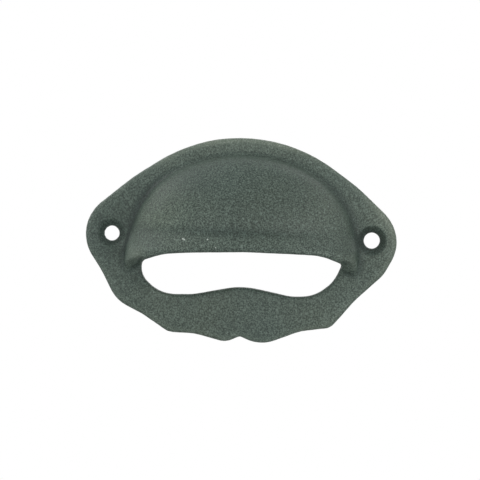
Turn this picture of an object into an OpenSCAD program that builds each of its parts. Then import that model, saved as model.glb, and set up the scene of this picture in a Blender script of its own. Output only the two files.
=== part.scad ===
// Cup pull, cast in one piece: a flat plate with two screw ears, a half-bell finger cup with a flared lip,
// and a slot below the lip. Millimetres. +X right, +Z up, the flat back lies in Y = 0 and the cup stands
// out towards -Y. The origin is midway between the screw holes on the back.

/* [Screw holes] */
// Distance between the two screw holes
hole_spacing = 85; // [82:0.5:90]
// Bore of the left-hand hole
left_hole_d = 4.7; // [4.4:0.05:6]
// Bore of the right-hand hole
right_hole_d = 5.25; // [4.4:0.05:6]
// Mouth of each countersink
sink_d = 9.4; // [8:0.1:10]
// Full angle of each countersink
sink_deg = 90; // [84:1:100]

/* [Plate] */
// Thickness of the plate
plate_t = 3; // [2.8:0.1:4]
// Rounding of the plate's front edge
edge_r = 0.9; // [0.4:0.1:1.2]
// How far the plate's front falls towards its edge
edge_fall = 0.5; // [0:0.1:0.8]
// Width of that fall
fall_w = 4.5; // [3:0.5:6]
// Rounding of the edges at the back
back_r = 0.5; // [0.2:0.1:0.8]
// Height of the crown above the screw holes
crown_rise = 32.3; // [30:0.1:36]
// Radius of the crown
crown_r = 51; // [44:1:56]
// Depth of the rim's lowest point below the screw holes
rim_drop = 34.4; // [33:0.1:38]
// Rounding of the ear at the left hole
left_ear_r = 13.3; // [11:0.1:14]
// Rounding of the ear at the right hole
right_ear_r = 12.9; // [11:0.1:14]
// Depth of the nick in the middle of the rim
nick_depth = 2; // [1:0.1:3]

/* [Cup] */
// Width of the cup where it springs from the plate, at the screw holes
cup_w = 72; // [69:0.5:73]
// Rise of the cup's foot line above the screw holes
cup_rise = 25.9; // [24:0.1:27]
// How far the cup stands out from the plate above the lip
cup_depth = 17; // [13:0.5:22]
// Thickness of the cup's wall
wall_t = 2.8; // [2.4:0.1:3.4]
// Radius of the cove between cup and plate
cove_r = 1.2; // [0.6:0.1:1.4]

/* [Lip] */
// Depth of the lip below the screw holes, in the middle
lip_drop = 5; // [4:0.1:6]
// How much lower the cup's two feet end than the lip
foot_drop = 3.4; // [2.5:0.1:4.5]
// Length of the slope that ends each foot, along the slot's edge
foot_slope = 3; // [2.6:0.1:4.2]
// How much lower the left foot ends at the plate than at the slot
left_splay = 2.5; // [1:0.1:2.8]
// How much lower the right foot ends at the plate than at the slot
right_splay = 1.6; // [1:0.1:2]
// Flare of the lip at the front
front_flare = 2.8; // [1:0.1:4]
// Flare of the lip at the sides
side_flare = 1.8; // [1:0.1:2.4]
// Height of the valley above the lip's flare, from the screw holes
valley_z = 1.4; // [0:0.1:3]
// Depth of that valley
valley_depth = 0.7; // [0:0.1:1]
// Half width of that valley
valley_w = 2; // [1.5:0.1:3]
// Softness of the bend from the valley to the flare
valley_soft = 1; // [0.4:0.1:2]
// Rounding of the lip and of the slot's front edge
lip_r = 1.2; // [0.6:0.1:1.4]

/* [Slot] */
// How far each end of the slot lies inside the cup's side
slot_inset = 3.2; // [2.6:0.1:4.5]
// Depth of the slot's lowest point below the screw holes
slot_drop = 19.2; // [18.2:0.1:21]
// Height of the hump in the slot's lower edge
hump_rise = 3.3; // [1:0.1:4.5]
// Radius of the slot's two lower lobes
lobe_r = 12.4; // [10:0.1:12.6]

/* [Hidden] */

hole_x = hole_spacing / 2;
half_cup = cup_w / 2;
slot_x = half_cup - slot_inset;
foot_z = -lip_drop - foot_drop;
foot_end = foot_z - 0.7 * foot_slope;
foot_bend = 1.6;
flank_x = hole_x + 4;
left_flank_z = foot_end - 1.9 * left_splay;
right_flank_z = foot_end - 2.6 * right_splay;
nick_x = 0.4;
hump_x = 0.7;
reach = 1;

// Spokes over the upper part and over each half of the rim, and rows of points along them
upper_spokes = 68;
rim_spokes = 30;
blend_spokes = 8;
cup_rows = 14;
fall_rows = 3;
hollow_rows = 9;
fine_steps = 720;
arc_step = 5;
side_share = 0.82;

function mix(a, b, t) = a + (b - a) * t;
function unit(v) = v / norm(v);
function held(t) = min(1, max(0, t));
function crowd(t, much) = t - much * sin(360 * t) / (2 * PI);
function turned(a) = a - 360 * floor((a + 180) / 360);
function heading(v) = atan2(v[1], v[0]);

// Closed outline through corners [x, z, radius], each rounded by its own arc, smaller where a side is short
function corner_arc(before, at, after) =
    let (p = [at[0], at[1]])
    let (a = [before[0], before[1]] - p)
    let (b = [after[0], after[1]] - p)
    let (half = acos(unit(a) * unit(b)) / 2)
    let (run = min(at[2] / tan(half), side_share * min(norm(a), norm(b))))
    let (r = run * tan(half))
    let (c = p + unit(unit(a) + unit(b)) * r / sin(half))
    let (a0 = heading(p + unit(a) * run - c))
    let (sweep = turned(heading(p + unit(b) * run - c) - a0))
    let (steps = ceil(abs(sweep) / arc_step))
    [for (k = [0 : steps]) c + r * [cos(a0 + sweep * k / steps), sin(a0 + sweep * k / steps)]];
function rounded(corners) =
    let (n = len(corners))
    [for (i = [0 : n - 1]) each corner_arc(corners[(i + n - 1) % n], corners[i], corners[(i + 1) % n])];

// Points spread along a path by length
function lengths(path) =
    [for (i = 0, s = 0; i < len(path); i = i + 1, s = i < len(path) ? s + norm(path[i] - path[i - 1]) : s) s];
function at_length(path, run, s) =
    let (i = max([for (k = [0 : len(path) - 2]) if (run[k] <= s && run[k + 1] > run[k]) k]))
    mix(path[i], path[i + 1], held((s - run[i]) / (run[i + 1] - run[i])));
function spread(path, shares) =
    let (run = lengths(path))
    [for (f = shares) at_length(path, run, f * run[len(run) - 1])];
function fine(path) = spread(concat(path, [path[0]]), [for (k = [0 : fine_steps - 1]) k / fine_steps]);
function nearest(path, p) =
    let (far = [for (q = path) norm(q - p)])
    search(min(far), far)[0];
function stretch(path, p, q) =
    let (a = nearest(path, p))
    let (n = len(path))
    let (count = (nearest(path, q) - a + n) % n)
    [for (k = [0 : count]) path[(a + k) % n]];

// Sideways direction of a closed clockwise loop, outwards
function outward(loop) =
    let (n = len(loop))
    [for (i = [0 : n - 1])
        let (d = unit(loop[(i + 1) % n] - loop[(i + n - 1) % n]))
        [-d[1], d[0]]];

// Where two lines meet, each through a point and with a direction
function crossed(u, v) = u[0] * v[1] - u[1] * v[0];
function meeting(p, u, q, v) = p + u * crossed(q - p, v) / crossed(u, v);
// Direction from a point to the crown's circle, touching it on the given side
crown_centre = [0, crown_rise - crown_r];
function to_crown(p, side) =
    let (d = crown_centre - p)
    let (a = heading(d) + side * asin(crown_r / norm(d)))
    [cos(a), sin(a)];

// Corners of the plate, clockwise from the crown, whose shoulders stand a little outside its circle
right_shoulder = crown_centre + (crown_r + 0.9) * [cos(44), sin(44)];
left_shoulder = crown_centre + (crown_r + 0.8) * [-cos(46.6), sin(46.6)];
crown = meeting(left_shoulder, to_crown(left_shoulder, 1), right_shoulder, to_crown(right_shoulder, -1));
plate_corners = [
    [crown[0], crown[1], crown_r],
    [right_shoulder[0], right_shoulder[1], 30],
    [hole_x + 11.3, 2.1, right_ear_r],
    [hole_x + 4, -11.3, 9],
    [hole_x - 5.4, 14.3 - rim_drop, 20],
    [29.8, 5.5 - rim_drop, 4.1],
    [19.7, 4 - rim_drop, 12],
    [6.5, -1.3 - rim_drop, 12],
    [nick_x, nick_depth - rim_drop, 0.8],
    [-4.3, -0.2 - rim_drop, 5],
    [-14.7, 2.4 - rim_drop, 12],
    [-23.1, 2.6 - rim_drop, 5.2],
    [-31.9, 8.4 - rim_drop, 20],
    [2.1 - hole_x, 12.5 - rim_drop, 12],
    [-3.3 - hole_x, -11.8, 25],
    [-13 - hole_x, 2.3, left_ear_r],
    [left_shoulder[0], left_shoulder[1], 30]
];

// Corners of the opening, clockwise from the lip's left end
slot_corners = [
    [0.3 - slot_x, foot_z - 0.3, 2.6],
    [7.5 - slot_x, -1.2 - lip_drop, 20],
    [0, 0.45 - lip_drop, 300],
    [slot_x - 6.8, -0.5 - lip_drop, 20],
    [slot_x - 0.1, foot_z + 0.4, 0.9],
    [slot_x - 1.4, foot_z - 4.7, lobe_r],
    [slot_x - 8.4, 0.6 - slot_drop, lobe_r],
    [16.9, 0.1 - slot_drop, 14],
    [hump_x, hump_rise - slot_drop, 25],
    [-15.5, -slot_drop, 14],
    [7.1 - slot_x, -0.2 - slot_drop, lobe_r],
    [0.4 - slot_x, foot_z - 5.3, 6]
];

// Share of the flare at a height: none above the valley, all at the lip
function bend(d) = (d + sqrt(d * d + 4 * valley_soft * valley_soft)) / 2;
function flared(z) = bend(valley_z - max(z, -lip_drop)) / bend(valley_z + lip_drop);
// How far the front flares at a height, with the valley sunk into it
function swell(z) = front_flare * flared(z) - valley_depth * exp(-pow((z - valley_z) / valley_w, 2));
// Half width of the bell at a height, and how far it stands out at a place
function bell_x(z, w, rise) = (w + side_flare * flared(z)) * sqrt(1 - pow(held(z / rise), 2));
function bell(p, w, rise, depth) =
    let (x = p[0] / (w + side_flare * flared(p[1])))
    (depth + swell(p[1])) * sqrt(max(0, 1 - x * x - pow(held(p[1] / rise), 2)));
// Foot line of the bell, over the top from the left foot to the right foot
function bell_line(w, rise) =
    let (left = [for (k = [12 : -1 : 0]) mix(0, foot_end - left_splay, k / 12)])
    let (right = [for (k = [0 : 12]) mix(0, foot_end - right_splay, k / 12)])
    let (over = [for (a = [2 : 2 : 178]) [-sign(cos(a)), rise * sin(a)]])
    concat(
        [for (z = left) [-bell_x(z, w, rise), z]],
        [for (q = over) [q[0] * bell_x(q[1], w, rise), q[1]]],
        [for (z = right) [bell_x(z, w, rise), z]]);

// Four loops of matching points: the opening's edge, the cup's foot line, its hollow's, and the plate's edge
upper_shares = [for (k = [0 : upper_spokes - 1]) crowd(k / upper_spokes, 0.6)];
foot_shares = [for (k = [0 : upper_spokes - 1]) crowd(k / upper_spokes, 0.7)];
rim_shares = [for (k = [0 : rim_spokes - 1]) k / rim_spokes];
function ring(path, left, right, low) =
    concat(
        spread(stretch(path, left, right), upper_shares),
        spread(stretch(path, right, low), rim_shares),
        spread(stretch(path, low, left), rim_shares));
slot_path = fine(rounded(slot_corners));
plate_path = fine(rounded(plate_corners));
slot_loop = ring(slot_path, [-slot_x, foot_end], [slot_x, foot_end], [hump_x, hump_rise - slot_drop]);
plate_loop =
    ring(plate_path, [-flank_x, left_flank_z], [flank_x, right_flank_z], [nick_x, nick_depth - rim_drop]);
spokes = len(slot_loop);
function share_at(i, p) = norm(p - slot_loop[i]) / norm(plate_loop[i] - slot_loop[i]);
function cup_loop(w, rise) =
    let (line = bell_line(w, rise))
    let (upper = spread(line, foot_shares))
    let (end = line[len(line) - 1])
    let (left = share_at(0, line[0]))
    let (right = share_at(upper_spokes, end))
    let (left_off = line[0] - mix(slot_loop[0], plate_loop[0], left))
    let (right_off = end - mix(slot_loop[upper_spokes], plate_loop[upper_spokes], right))
    concat(upper, [for (k = [0 : 2 * rim_spokes - 1])
        let (i = upper_spokes + k)
        let (share = mix(right, left, k / (2 * rim_spokes)))
        mix(slot_loop[i], plate_loop[i], share)
            + right_off * held(1 - k / blend_spokes)
            + left_off * held(1 - (2 * rim_spokes - k) / blend_spokes)]);
cup_foot = cup_loop(half_cup, cup_rise);
hollow_foot = cup_loop(half_cup - wall_t, cup_rise - wall_t);
slot_out = outward(slot_loop);
plate_out = outward(plate_loop);
cup_out = outward(cup_foot);

// Share of the cup's height at each spoke: all of it over the lip, falling to none at the end of each foot,
// steep under the foot's edge and running out on the plate
lip_run = lengths(stretch(slot_path, [-slot_x, foot_end], [slot_x, foot_end]));
lip_length = lip_run[len(lip_run) - 1];
function sloped(t) = pow(held(t), foot_bend);
standing = [for (i = [0 : spokes - 1])
    i < upper_spokes ? sloped(lip_length * min(upper_shares[i], 1 - upper_shares[i]) / foot_slope) : 0];
// Heights of the front and of the back at a place on a spoke
function front_h(i, p) = plate_t + standing[i] * bell(p, half_cup, cup_rise, cup_depth);
function back_h(i, p) =
    standing[i] * bell(p, half_cup - wall_t, cup_rise - wall_t, plate_t + cup_depth - wall_t);

// Height of the plate's front at a place on a spoke: flat, and falling towards the plate's edge
function plate_h(i, p) = plate_t - edge_fall * pow(1 - held(norm(p - plate_loop[i]) / fall_w), 2);

// Section of the wall at one spoke: from the opening over the front to the plate's edge, and back behind
function point(p, h) = [p[0], p[1], h];
function rounding(p, out, r, a) = p + out * r * (1 - cos(a));
function front_edge(i, a) =
    let (p = rounding(slot_loop[i], slot_out[i], lip_r, a))
    point(p, front_h(i, p) - lip_r * (1 - sin(a)));
function back_edge(i, a) =
    let (p = rounding(slot_loop[i], slot_out[i], back_r, a))
    point(p, back_h(i, p) + back_r * (1 - sin(a)));
function section(i) =
    let (first = slot_loop[i] + slot_out[i] * lip_r)
    let (last = slot_loop[i] + slot_out[i] * back_r)
    let (foot = cup_foot[i])
    let (cove = foot + cup_out[i] * cove_r)
    let (brink = plate_loop[i] - plate_out[i] * edge_r)
    let (fall_share = held(fall_w / norm(cove - brink)))
    concat(
        [for (a = [0 : 30 : 90]) front_edge(i, a)],
        [for (k = [1 : cup_rows - 1])
            let (p = mix(first, foot, crowd(k / cup_rows, 0.6)))
            point(p, front_h(i, p))],
        [for (a = [0 : 30 : 90])
            let (p = rounding(foot, cup_out[i], cove_r, a))
            point(p, plate_h(i, p) + cove_r * (1 - sin(a)) * standing[i])],
        [for (k = [fall_rows : -1 : 1])
            let (p = mix(brink, cove, fall_share * k / (fall_rows + 0.2)))
            point(p, plate_h(i, p))],
        [for (a = [90 : -30 : 0])
            let (p = rounding(plate_loop[i], -plate_out[i], edge_r, a))
            point(p, plate_h(i, p) - edge_r * (1 - sin(a)))],
        [for (a = [0 : 45 : 90])
            point(rounding(plate_loop[i], -plate_out[i], back_r, a), back_r * (1 - sin(a)))],
        [point(hollow_foot[i], 0)],
        [for (k = [hollow_rows - 1 : -1 : 1])
            let (p = mix(last, hollow_foot[i], crowd(k / hollow_rows, 0.6)))
            point(p, back_h(i, p))],
        [for (a = [90 : -45 : 0]) back_edge(i, a)]);

// The casting: all sections joined round the opening
module casting() {
    sections = [for (i = [0 : spokes - 1]) section(i)];
    rows = len(sections[0]);
    function place(i, j) = (i % spokes) * rows + j % rows;
    polyhedron(
        points = [for (s = sections) each s],
        faces = [for (i = [0 : spokes - 1])
            for (j = [0 : rows - 1])
                each [
                    [place(i, j), place(i + 1, j + 1), place(i + 1, j)],
                    [place(i, j), place(i, j + 1), place(i + 1, j + 1)]
                ]],
        convexity = 8);
}

// A countersunk screw hole, cut from the front
module screw_hole(x, d) {
    sink_h = (sink_d - d) / 2 / tan(sink_deg / 2);
    translate([x, 0, -reach]) cylinder(h = plate_t + 2 * reach, d = d, $fn = 64);
    translate([x, 0, plate_t - sink_h])
        cylinder(h = sink_h + reach, d1 = d, d2 = sink_d + 2 * reach * tan(sink_deg / 2), $fn = 64);
}

module cup_pull() {
    color([0.33, 0.37, 0.35])
        rotate([90, 0, 0])
            difference() {
                casting();
                screw_hole(-hole_x, left_hole_d);
                screw_hole(hole_x, right_hole_d);
            }
}

cup_pull();
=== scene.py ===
import math

import bmesh
import bpy
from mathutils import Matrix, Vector, noise


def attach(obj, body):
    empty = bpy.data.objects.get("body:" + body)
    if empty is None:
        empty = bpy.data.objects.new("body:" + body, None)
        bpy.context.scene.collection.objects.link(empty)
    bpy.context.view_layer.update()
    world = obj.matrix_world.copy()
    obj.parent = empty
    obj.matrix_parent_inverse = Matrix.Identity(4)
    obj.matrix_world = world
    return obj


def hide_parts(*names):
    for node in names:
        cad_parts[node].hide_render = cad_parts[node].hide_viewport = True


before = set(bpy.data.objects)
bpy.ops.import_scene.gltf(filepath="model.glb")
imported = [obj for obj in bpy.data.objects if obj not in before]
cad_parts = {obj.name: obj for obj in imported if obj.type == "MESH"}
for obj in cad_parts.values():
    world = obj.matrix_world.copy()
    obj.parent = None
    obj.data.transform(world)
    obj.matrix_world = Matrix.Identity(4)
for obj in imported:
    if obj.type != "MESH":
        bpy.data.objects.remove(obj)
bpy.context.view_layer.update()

MM = 0.001

# Casting: fineness of its mesh, and its main places
CELL = 0.42 * MM
WELD = 0.001 * MM
PLATE_FRONT = -3 * MM
LIP_EDGE = -5 * MM
LEFT_HOLE = Vector((-42.5 * MM, PLATE_FRONT, 0))
CUP_HALF = 36 * MM
CUP_RISE = 25.9 * MM

# Foot line of the cup: how far it moves, and its fades by turn in degrees, share of the cup and hole gap
FOOT_MOVE = 0.5 * MM
CROWN_TURNS = ((28, 46), (142, 70))
LEFT_TURNS = ((142, 154), (180, 170))
MOVED_BAND = ((0.7, 0.97), (1.2, 1.04))
MOVED_CLEAR = (4.8 * MM, 6.5 * MM)

# Evening of the skin: strength and rounds of smoothing, and the fades that bound each place
EVENING = 0.5
DOME_ROUNDS = 24
DOME_STAND = (3.5 * MM, 6 * MM)
DOME_ABOVE = (LIP_EDGE + 1.5 * MM, LIP_EDGE + 4 * MM)
FOOT_ROUNDS = 140
FOOT_OVAL = (38 * MM, 26 * MM)
FOOT_REACH = (1.18, 1.08)
FOOT_STAND = ((2.2 * MM, 2.8 * MM), (9 * MM, 6 * MM))
FOOT_SIDE = (16 * MM, 28 * MM)
FOOT_ABOVE = (-8 * MM, -5 * MM)
FOOT_CLEAR = (4.6 * MM, 6 * MM)
FOOT_LEFT_SHARE = 0.45
SINK_ROUNDS = 14
SINK_REACH = (7 * MM, 4.9 * MM)
SINK_FRONT = (1 * MM, 2 * MM)
HOLLOW_ROUNDS = 16
HOLLOW_OVAL = (40 * MM, 29 * MM)
HOLLOW_REACH = (1.0, 0.9)
HOLLOW_BACK = (2.5 * MM, 1.2 * MM)
HOLLOW_ABOVE = (-9 * MM, -5 * MM)

# Sand-cast skin: size and height of each kind of unevenness, and where it fades in from the flat back
SKIN = [
    (14 * MM, 0.10 * MM),
    (3.2 * MM, 0.035 * MM),
    (1.3 * MM, 0.03 * MM),
]
SKIN_STAND = (0, 0.8 * MM)

# Edges that stand out: painted highlight, most towards the upper right, but painted shade round the slot
BROAD_ROUNDS = 120
HIGHLIGHT_RELIEF = (0.1, 0.32)
EDGE_HIGHLIGHT = 0.24
HIGHLIGHT_MORE = 0.7
HIGHLIGHT_MOST = Vector((0.35, 0.94))
HIGHLIGHT_TURN = (-0.1, 0.9)
HIGHLIGHT_CLEAR = (7.5 * MM, 5.5 * MM)
SLOT_SHADE = 0.15
SLOT_MIDDLE = -12 * MM
SLOT_OVAL = (34 * MM, 8.5 * MM)
SLOT_REACH = (0.95, 1.25)

# Grooves: painted shade, most at the two sides. Their share and start are given at the crown and at the
# sides
EDGE_ROUNDS = 40
GROOVE_SHADE = 0.50
GROOVE_SHARE = (0.55, 1.0)
GROOVE_FROM = (0.05, 0.01)
GROOVE_DEEP = 0.11
GROOVE_SIDE = (15 * MM, 34 * MM)
GROOVE_SKEW = 6 * MM

# Foot of the cup and cones of the holes: how much painted shade at the left and at the right, and where
FOOT_SHADE = (0.60, 0.30)
SHADE_STAND = ((3 * MM, 3.5 * MM), (7.5 * MM, 5 * MM))
SHADE_SIDE = (20 * MM, 32 * MM)
SHADE_ABOVE = (-9 * MM, -5 * MM)
CONE_SHADE = (0.0, 0.55)
CONE_REACH = (5.1 * MM, 4.75 * MM)

# Broad patches of painted light and shade: on cup or plate, centre and reach across and up in millimetres,
# and how much lighter (plus)
CUP_STAND = (3.6 * MM, 5 * MM)
LIGHT_AND_SHADE_PATCHES = [
    ("plate", 0, 30.5, 28, 3, 0.43),
    ("plate", -25, 24, 8, 5, 0.25),
    ("plate", 46, 5, 8, 9, 0.35),
    ("plate", -43.5, 0, 6, 9, -0.40),
    ("plate", 41, 0, 4.5, 5, -0.38),
    ("plate", -38.5, 3, 2, 9, -0.15),
    ("plate", 38.5, 1, 2.8, 9, -0.26),
    ("plate", -33, -14, 3.5, 3.5, -0.42),
    ("plate", -34.5, -9.8, 3, 2, -0.22),
    ("plate", 35.5, -10.5, 3.5, 2.2, -0.32),
    ("plate", 30, -24, 14, 6, 0.08),
    ("cup", -26, 4, 7, 4, 0.28),
    ("cup", 7, 10, 16, 10, -0.20),
    ("cup", 27, 9, 6, 7, 0.14),
    ("cup", -15, 16, 8, 5, -0.20),
    ("cup", -6, 1.3, 28, 1.6, -0.50),
    ("cup", -35, -6, 4, 3, 0.42),
    ("cup", 33, -4.5, 6, 3.5, -0.18),
]

# Olive patch: how much less blue, and how much faster than the rest red gets lighter or darker under the
# painted light and shade, so painted highlights are less green, as a sheen is
OLIVE = [("cup", -28, 9, 11, 10, 0.08)]
WARMER = 1.15

# Finish: size, detail and roughness of each grain. A ramp maps a range of values to another range
GRAINS = {
    "drift": (30 * MM, 2, 0.5),
    "mottle": (5 * MM, 3, 0.55),
    "sand": (1.1 * MM, 2, 0.6),
    "speck": (0.45 * MM, 2, 0.6),
    # The last grain places the painted glints
    "painted_glint": (0.62 * MM, 0, 0.5),
}
DRIFT_RAMP = (0.35, 0.65, 0, 1)
MOTTLE_RAMP = (0.3, 0.7, 0, 0.25)
# Specks fade where the painted light and shade is lighter: this ramp maps its tone to their share
HIGHLIGHT_RAMP = (1.05, 1.6, 1, 0.55)
STAND_RAMP = (-10 * MM, -21 * MM, 0.9, 1.25)
ROUGH_RAMP = (0.3, 0.7, 0.50, 0.62)
COOL_GREEN = (0.080, 0.114, 0.096, 1)
WARM_GREEN = (0.089, 0.118, 0.092, 1)
MOTTLE_GREEN = (0.071, 0.101, 0.084, 1)
SHEEN = 0.38

# Light specks, dark specks and painted glints: grain, ramp of their share, and colour
SPECKS = [
    ("speck", (0.51, 0.65, 0, 0.95), (0.183, 0.240, 0.204, 1)),
    ("speck", (0.49, 0.35, 0, 0.95), (0.025, 0.037, 0.030, 1)),
    ("painted_glint", (0.70, 0.78, 0, 0.6), (0.26, 0.33, 0.285, 1)),
]

# Bumps: grain, strength and height
BUMPS = [
    ("sand", 0.35, 0.12 * MM),
    ("speck", 0.45, 0.08 * MM),
]

# Small bright spots on the lip: place and half width in millimetres, and the share of the half width at
# full colour
BRIGHT_SPOTS = [
    ((-18.85, -18.5, -1.2), 0.36),
    ((-18.4, -18.7, -1.5), 0.36),
    ((-10.95, -20.3, -1.2), 0.32),
    ((-8.3, -21.75, -3.7), 0.22),
]
SPOT_CORE = 0.6
SPOT_COLOUR = (0.62, 0.68, 0.63, 1)

# Camera: distance, width of the view at the plate, the point it looks at and how far it leans
VIEW_DISTANCE = 800 * MM
VIEW_WIDTH = 157.1 * MM
AIM = Vector((-0.59 * MM, 0, -1.07 * MM))
LEAN = math.radians(1.68)
SENSOR = 36.0
CLIP_START = 10 * MM

# Studio: name, place, size across and power of each lamp, the dim light all round, and the floor
LAMPS = [
    ("lamp_right", (0.45, -0.78, 0.03), 0.50, 1.8),
    ("lamp_left", (-0.45, -0.78, 0.0), 0.50, 1.6),
    ("lamp_close_right", (0.20, -0.20, 0.03), 0.20, 0.15),
    ("lamp_upper_left", (-0.65, -0.03, 0.62), 0.50, 3.2),
    ("lamp_upper_right", (0.64, -0.05, 0.64), 0.50, 0.8),
    ("lamp_far_left", (-0.89, -0.06, 0.02), 0.50, 0.5),
    ("lamp_behind", (0.25, 0.70, 0.45), 0.60, 3.0),
]
AMBIENT = 0.05
FLOOR_Z = -220 * MM
FLOOR_R = 300 * MM
FLOOR_SIDES = 96
FLOOR_COLOUR = (0.80, 0.80, 0.79, 1)
FLOOR_ROUGH = 0.8


def ease(value, start, end):
    """Smooth step from 0 at start to 1 at end."""
    t = min(1.0, max(0.0, (value - start) / (end - start)))
    return t * t * (3 - 2 * t)


def within(value, rise, fall):
    """Smooth step up along one fade and down along another."""
    return ease(value, *rise) * ease(value, *fall)


def between(pair, share):
    """Value at a share of the way from the first of a pair to the second."""
    return pair[0] + (pair[1] - pair[0]) * share


def oval_reach(x, z, oval):
    """How far out a place lies, 1 on an oval of a half width and a half height."""
    return math.hypot(x / oval[0], z / oval[1])


def hole_gap(co):
    """Distance from the nearer hole's axis."""
    return math.hypot(abs(co.x) + LEFT_HOLE.x, co.z)


def casting_from_solid():
    """Copies the solid's mesh, welds it and gives it an even fine mesh of its own."""
    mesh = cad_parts["cup_pull"].data.copy()
    mesh.materials.clear()
    bm = bmesh.new()
    bm.from_mesh(mesh)
    bmesh.ops.remove_doubles(bm, verts=bm.verts[:], dist=WELD)
    bm.to_mesh(mesh)
    bm.free()
    casting = bpy.data.objects.new("cast_cup_pull", mesh)
    bpy.context.scene.collection.objects.link(casting)
    even = casting.modifiers.new("even_mesh", "REMESH")
    even.mode = "VOXEL"
    even.voxel_size = CELL
    settle(casting)
    return casting


def settle(piece):
    """Makes the modifiers' result the piece's own mesh."""
    evaluated = piece.evaluated_get(bpy.context.evaluated_depsgraph_get())
    mesh = bpy.data.meshes.new_from_object(evaluated)
    piece.modifiers.clear()
    piece.data = mesh


def smoothing(piece, name, rounds):
    """Adds rounds of smoothing to the piece."""
    smooth = piece.modifiers.new(name, "SMOOTH")
    smooth.factor = EVENING
    smooth.iterations = rounds
    return smooth


def move_foot(piece):
    """Moves the cup's foot line a little, out at the crown and in at the left."""
    for v in piece.data.vertices:
        x, z = v.co.x / CUP_HALF, v.co.z / CUP_RISE
        turn = math.degrees(math.atan2(z, x))
        out = within(turn, *CROWN_TURNS) - within(turn, *LEFT_TURNS)
        share = out * within(math.hypot(x, z), *MOVED_BAND) * ease(hole_gap(v.co), *MOVED_CLEAR)
        v.co += FOOT_MOVE * share * Vector((x / CUP_HALF, 0, z / CUP_RISE)).normalized()


def even_out(piece, name, share, rounds):
    """Smooths the piece's skin by a share that depends on the place."""
    group = piece.vertex_groups.new(name=name)
    for v in piece.data.vertices:
        weight = share(v.co)
        if weight > 0:
            group.add([v.index], weight, "REPLACE")
    smoothing(piece, name, rounds).vertex_group = name
    settle(piece)
    piece.vertex_groups.clear()


def dome_share(co):
    """All of the cup's skin, fading out at the plate and at the lip."""
    return ease(-co.y, *DOME_STAND) * ease(co.z, *DOME_ABOVE)


def foot_share(co):
    """The cup's foot at its two sides, where it runs softly into the plate, more so at the right."""
    around = ease(oval_reach(co.x, co.z, FOOT_OVAL), *FOOT_REACH) * ease(hole_gap(co), *FOOT_CLEAR)
    side = ease(abs(co.x), *FOOT_SIDE) * ease(co.z, *FOOT_ABOVE)
    return around * side * within(-co.y, *FOOT_STAND) * (1 if co.x > 0 else FOOT_LEFT_SHARE)


def sink_share(co):
    """The softly sunk rim of the left hole."""
    return ease((co - LEFT_HOLE).length, *SINK_REACH) * ease(-co.y, *SINK_FRONT)


def hollow_share(co):
    """The edge of the hollow on the flat back."""
    around = ease(oval_reach(co.x, co.z, HOLLOW_OVAL), *HOLLOW_REACH)
    return around * ease(-co.y, *HOLLOW_BACK) * ease(co.z, *HOLLOW_ABOVE)


def sand_skin(piece):
    """Raises and sinks the skin as sand casting leaves it, all but the flat back."""
    shifts = []
    for v in piece.data.vertices:
        height = sum(noise.noise(v.co / size) * rise for size, rise in SKIN)
        shifts.append(v.normal * height * ease(-v.co.y, *SKIN_STAND))
    for v, shift in zip(piece.data.vertices, shifts):
        v.co += shift


def relief(piece, rounds):
    """How far each place stands out (plus) or lies sunk against a smoothed skin, in millimetres."""
    smoothing(piece, "smoothed", rounds)
    evaluated = piece.evaluated_get(bpy.context.evaluated_depsgraph_get())
    pairs = zip(piece.data.vertices, evaluated.data.vertices)
    heights = [(v.co - p.co).dot(v.normal) / MM for v, p in pairs]
    piece.modifiers.clear()
    return heights


def patch_tone(co, rows):
    """Tone of the broad patches at a place."""
    cup = ease(-co.y, *CUP_STAND)
    tone = 0
    for part, x, z, reach_x, reach_z, share in rows:
        spot = math.exp(-((co.x / MM - x) / reach_x) ** 2 - ((co.z / MM - z) / reach_z) ** 2)
        tone += share * spot * (cup if part == "cup" else 1 - cup)
    return tone


def edge_tone(co, broad):
    """Tone of edges that stand out: painted highlight, but painted shade round the slot and no highlight
    near the holes.
    """
    outside = ease(oval_reach(co.x, co.z - SLOT_MIDDLE, SLOT_OVAL), *SLOT_REACH)
    upper = ease(Vector((co.x, co.z)).normalized().dot(HIGHLIGHT_MOST), *HIGHLIGHT_TURN)
    highlight = EDGE_HIGHLIGHT * (1 + HIGHLIGHT_MORE * upper) * (1 - ease(hole_gap(co), *HIGHLIGHT_CLEAR))
    return ease(broad, *HIGHLIGHT_RELIEF) * (outside * (highlight + SLOT_SHADE) - SLOT_SHADE)


def painted_shade_tone(co, edge):
    """How much painted shade lies in the grooves, on the cup's foot and in the holes' cones."""
    side = ease(max(-co.x, co.x - GROOVE_SKEW), *GROOVE_SIDE)
    depth = ease(-edge, between(GROOVE_FROM, side), GROOVE_DEEP)
    groove = GROOVE_SHADE * between(GROOVE_SHARE, side) * depth
    foot = within(-co.y, *SHADE_STAND) * ease(abs(co.x), *SHADE_SIDE) * ease(co.z, *SHADE_ABOVE)
    cone = ease(hole_gap(co), *CONE_REACH)
    right = co.x > 0
    return groove + FOOT_SHADE[right] * foot + CONE_SHADE[right] * cone


def mark_tone(piece):
    """Keeps the painted light and shade at each place: painted highlights on edges that stand out, painted
    shade round the slot, in the grooves, on the cup's foot and in the holes' cones, and the broad patches
    of both. Where it is painted lighter it is warmer too.
    """
    edges, broads = relief(piece, EDGE_ROUNDS), relief(piece, BROAD_ROUNDS)
    tones = []
    for v, edge, broad in zip(piece.data.vertices, edges, broads):
        tone = edge_tone(v.co, broad) - painted_shade_tone(v.co, edge) + patch_tone(v.co, LIGHT_AND_SHADE_PATCHES)
        tones += [math.exp(WARMER * tone), math.exp(tone), math.exp(tone - patch_tone(v.co, OLIVE))]
    kept = piece.data.attributes.new("painted_light_tone", "FLOAT_VECTOR", "POINT")
    kept.data.foreach_set("vector", tones)
    piece.data.shade_smooth()


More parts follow.
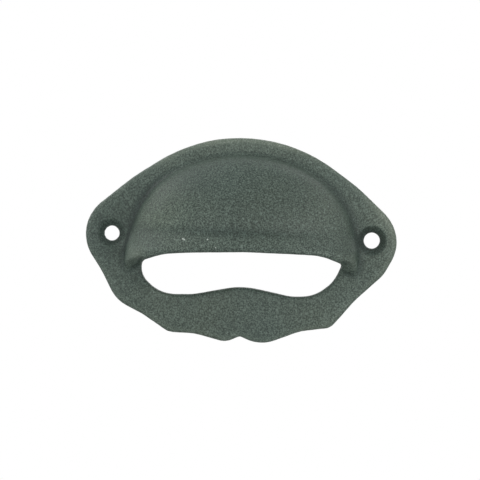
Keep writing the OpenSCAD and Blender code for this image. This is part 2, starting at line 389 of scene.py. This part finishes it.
def add(tree, kind, **settings):
    """Adds a node and sets its properties."""
    made = tree.nodes.new("ShaderNode" + kind)
    for name, value in settings.items():
        setattr(made, name, value)
    return made


def noise_at(tree, place, size, detail, rough):
    """Noise whose patches are about one size across."""
    grain = add(tree, "TexNoise")
    tree.links.new(place, grain.inputs["Vector"])
    grain.inputs["Scale"].default_value = 1 / size
    grain.inputs["Detail"].default_value = detail
    grain.inputs["Roughness"].default_value = rough
    return grain.outputs["Fac"]


def spread(tree, source, low, high, out_low, out_high):
    """Maps a range of a value to another range."""
    span = add(tree, "MapRange")
    tree.links.new(source, span.inputs["Value"])
    ends = zip(("From Min", "From Max", "To Min", "To Max"), (low, high, out_low, out_high))
    for name, value in ends:
        span.inputs[name].default_value = value
    return span.outputs["Result"]


def joined(tree, operation, one, other):
    """Two values made one."""
    made = add(tree, "Math", operation=operation)
    tree.links.new(one, made.inputs[0])
    tree.links.new(other, made.inputs[1])
    return made.outputs[0]


def middle_of(tree, vector):
    """The middle one of a vector's three values."""
    parts = add(tree, "SeparateXYZ")
    tree.links.new(vector, parts.inputs[0])
    return parts.outputs["Y"]


def tint(tree, share, under, over):
    """Lays one colour over another by a share."""
    mixed = add(tree, "Mix", data_type="RGBA")
    sockets = (mixed.inputs[0], mixed.inputs[6], mixed.inputs[7])
    for socket, value in zip(sockets, (share, under, over)):
        if isinstance(value, bpy.types.NodeSocket):
            tree.links.new(value, socket)
        else:
            socket.default_value = value
    return mixed.outputs[2]


def bumped(tree, height, strength, rise, under):
    """Bumps by a height, laid over other bumps where there are any."""
    bump = add(tree, "Bump")
    bump.inputs["Strength"].default_value = strength
    bump.inputs["Distance"].default_value = rise
    tree.links.new(height, bump.inputs["Height"])
    if under is not None:
        tree.links.new(under, bump.inputs["Normal"])
    return bump.outputs["Normal"]


def finish_with_painted_light(tree, place, grains):
    """Grey-green body with its specks, fainter where it is painted lighter and stronger towards the lip,
    times the painted light and shade.
    """
    tone = add(tree, "Attribute", attribute_name="painted_light_tone").outputs["Vector"]
    body = tint(tree, spread(tree, grains["drift"], *DRIFT_RAMP), COOL_GREEN, WARM_GREEN)
    body = tint(tree, spread(tree, grains["mottle"], *MOTTLE_RAMP), body, MOTTLE_GREEN)
    highlit = spread(tree, middle_of(tree, tone), *HIGHLIGHT_RAMP)
    stand = spread(tree, middle_of(tree, place), *STAND_RAMP)
    grainy = joined(tree, "MULTIPLY", highlit, stand)
    for name, ramp, colour in SPECKS:
        share = joined(tree, "MULTIPLY", grainy, spread(tree, grains[name], *ramp))
        body = tint(tree, share, body, colour)
    toned = add(tree, "VectorMath", operation="MULTIPLY")
    tree.links.new(body, toned.inputs[0])
    tree.links.new(tone, toned.inputs[1])
    return toned.outputs["Vector"]


def brightened(tree, place, body):
    """Lays a pale colour on the small bright spots on the lip."""
    for spot, half in BRIGHT_SPOTS:
        gap = add(tree, "VectorMath", operation="DISTANCE")
        tree.links.new(place, gap.inputs[0])
        gap.inputs[1].default_value = [c * MM for c in spot]
        share = spread(tree, gap.outputs["Value"], half * MM, SPOT_CORE * half * MM, 0, 1)
        body = tint(tree, share, body, SPOT_COLOUR)
    return body


def cast_metal():
    """Satin grey-green finish on sand-cast iron, with painted light and shade and painted glints in its
    colour.
    """
    material = bpy.data.materials.new("satin_cast_iron")
    material.use_nodes = True
    tree = material.node_tree
    shader = tree.nodes["Principled BSDF"]
    place = add(tree, "TexCoord").outputs["Object"]
    grains = {name: noise_at(tree, place, *row) for name, row in GRAINS.items()}
    body = brightened(tree, place, finish_with_painted_light(tree, place, grains))
    tree.links.new(body, shader.inputs["Base Color"])
    tree.links.new(spread(tree, grains["sand"], *ROUGH_RAMP), shader.inputs["Roughness"])
    shader.inputs["Specular IOR Level"].default_value = SHEEN
    normal = None
    for name, strength, rise in BUMPS:
        normal = bumped(tree, grains[name], strength, rise, normal)
    tree.links.new(normal, shader.inputs["Normal"])
    return material


def pale_floor():
    """Plain round floor below the pull."""
    mesh = bpy.data.meshes.new("pale_floor")
    bm = bmesh.new()
    bmesh.ops.create_circle(bm, cap_ends=True, segments=FLOOR_SIDES, radius=FLOOR_R)
    bmesh.ops.translate(bm, verts=bm.verts[:], vec=(0, 0, FLOOR_Z))
    bm.to_mesh(mesh)
    bm.free()
    floor = bpy.data.objects.new("pale_floor", mesh)
    bpy.context.scene.collection.objects.link(floor)
    material = bpy.data.materials.new("pale_floor")
    material.use_nodes = True
    shader = material.node_tree.nodes["Principled BSDF"]
    shader.inputs["Base Color"].default_value = FLOOR_COLOUR
    shader.inputs["Roughness"].default_value = FLOOR_ROUGH
    mesh.materials.append(material)
    return floor


def studio_world():
    """White to the camera and in reflections, and a dim even light on everything else."""
    world = bpy.data.worlds.new("studio")
    bpy.context.scene.world = world
    world.use_nodes = True
    tree = world.node_tree
    tree.nodes.clear()
    ray = add(tree, "LightPath").outputs
    seen = joined(tree, "MAXIMUM", ray["Is Camera Ray"], ray["Is Transmission Ray"])
    white = joined(tree, "MAXIMUM", seen, ray["Is Glossy Ray"])
    glow = add(tree, "Background")
    glow.inputs["Color"].default_value = (1, 1, 1, 1)
    tree.links.new(spread(tree, white, 0, 1, AMBIENT, 1), glow.inputs["Strength"])
    tree.links.new(glow.outputs[0], add(tree, "OutputWorld").inputs["Surface"])


def lamp(name, place, size, power):
    """Soft square lamp that faces the pull."""
    data = bpy.data.lights.new(name, "AREA")
    data.size = size
    data.energy = power
    made = bpy.data.objects.new(name, data)
    made.location = place
    made.rotation_euler = (AIM - Vector(place)).to_track_quat("-Z", "Y").to_euler()
    made.visible_camera = False
    bpy.context.scene.collection.objects.link(made)


def camera():
    """Looks at the pull square from the front, leaning a little as the picture does."""
    data = bpy.data.cameras.new("camera")
    data.sensor_width = SENSOR
    data.lens = SENSOR * VIEW_DISTANCE / VIEW_WIDTH
    data.clip_start = CLIP_START
    made = bpy.data.objects.new("camera", data)
    made.location = AIM + Vector((0, -VIEW_DISTANCE, 0))
    made.rotation_euler = (math.pi / 2, -LEAN, 0)
    bpy.context.scene.collection.objects.link(made)
    bpy.context.scene.camera = made


camera()
studio_world()
for row in LAMPS:
    lamp(*row)
floor = pale_floor()

casting = casting_from_solid()
move_foot(casting)
even_out(casting, "dome", dome_share, DOME_ROUNDS)
even_out(casting, "foot", foot_share, FOOT_ROUNDS)
even_out(casting, "left_sink", sink_share, SINK_ROUNDS)
even_out(casting, "hollow_edge", hollow_share, HOLLOW_ROUNDS)
mark_tone(casting)
sand_skin(casting)
casting.data.materials.append(cast_metal())
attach(casting, "root")
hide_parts("cup_pull")

bpy.context.scene.view_settings.view_transform = "Standard"
